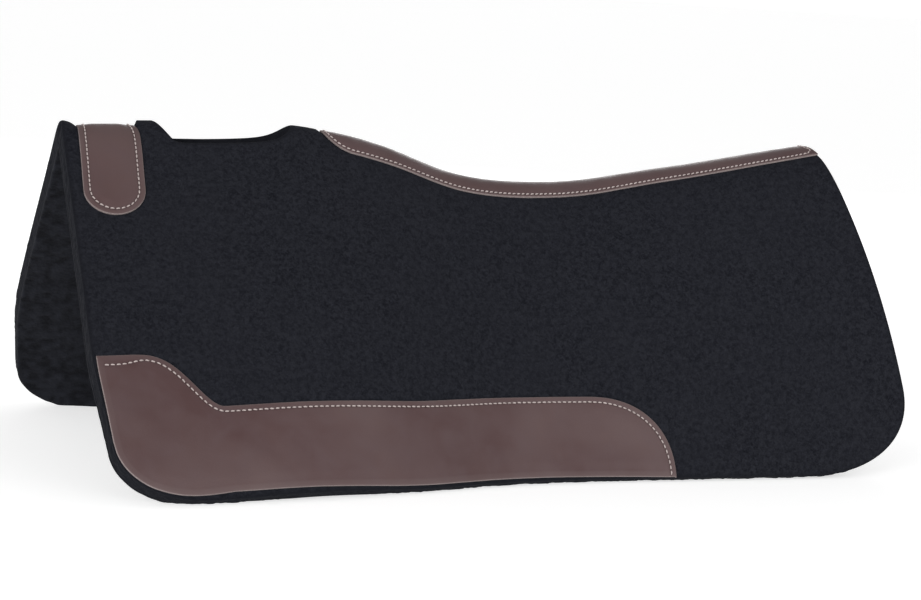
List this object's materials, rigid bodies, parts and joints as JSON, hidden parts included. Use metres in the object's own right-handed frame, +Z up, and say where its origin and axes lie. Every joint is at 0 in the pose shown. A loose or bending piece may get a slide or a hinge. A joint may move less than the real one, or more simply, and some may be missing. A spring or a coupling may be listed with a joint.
{
  "type": "saddle pad",
  "caption": "Contoured felt saddle pad with a wither cut-out, leather spine strip, wither strap and wear leathers, standing open on its hems.",
  "frame": {"origin": "on the floor, below the middle of the pad's bounding box", "axes": "+Z up, X along the spine with the withers (front) at -X and the rear at +X, -Y the horse's left side"},
  "size_m": [0.8624, 0.5452, 0.3303],
  "materials": {
    "felt": "dense charcoal wool felt, matt and slightly mottled, with lighter fuzzy cut edges",
    "fleece": "black short nubby fleece",
    "tape": "black woven cotton tape",
    "dark_thread": "black bonded thread",
    "leather": "dark brown oiled leather with a soft sheen and pale raw edges",
    "pale_thread": "pale waxed sewing thread"
  },
  "bodies": {
    "root": {"felt_panel_left": "felt", "felt_panel_right": "felt", "fleece_liner_left": "fleece", "fleece_liner_right": "fleece", "bridge_seam_tape": "tape", "spine_seam_tape": "tape", "bridge_seam_thread": "dark_thread", "spine_seam_thread": "dark_thread", "spine_strip_leather": "leather", "wither_strap_leather": "leather", "wear_leather_left": "leather", "wear_leather_right": "leather", "spine_strip_stitching": "pale_thread", "wither_strap_stitching": "pale_thread", "wear_leather_stitching_left": "pale_thread", "wear_leather_stitching_right": "pale_thread"}
  },
  "joints": []
}
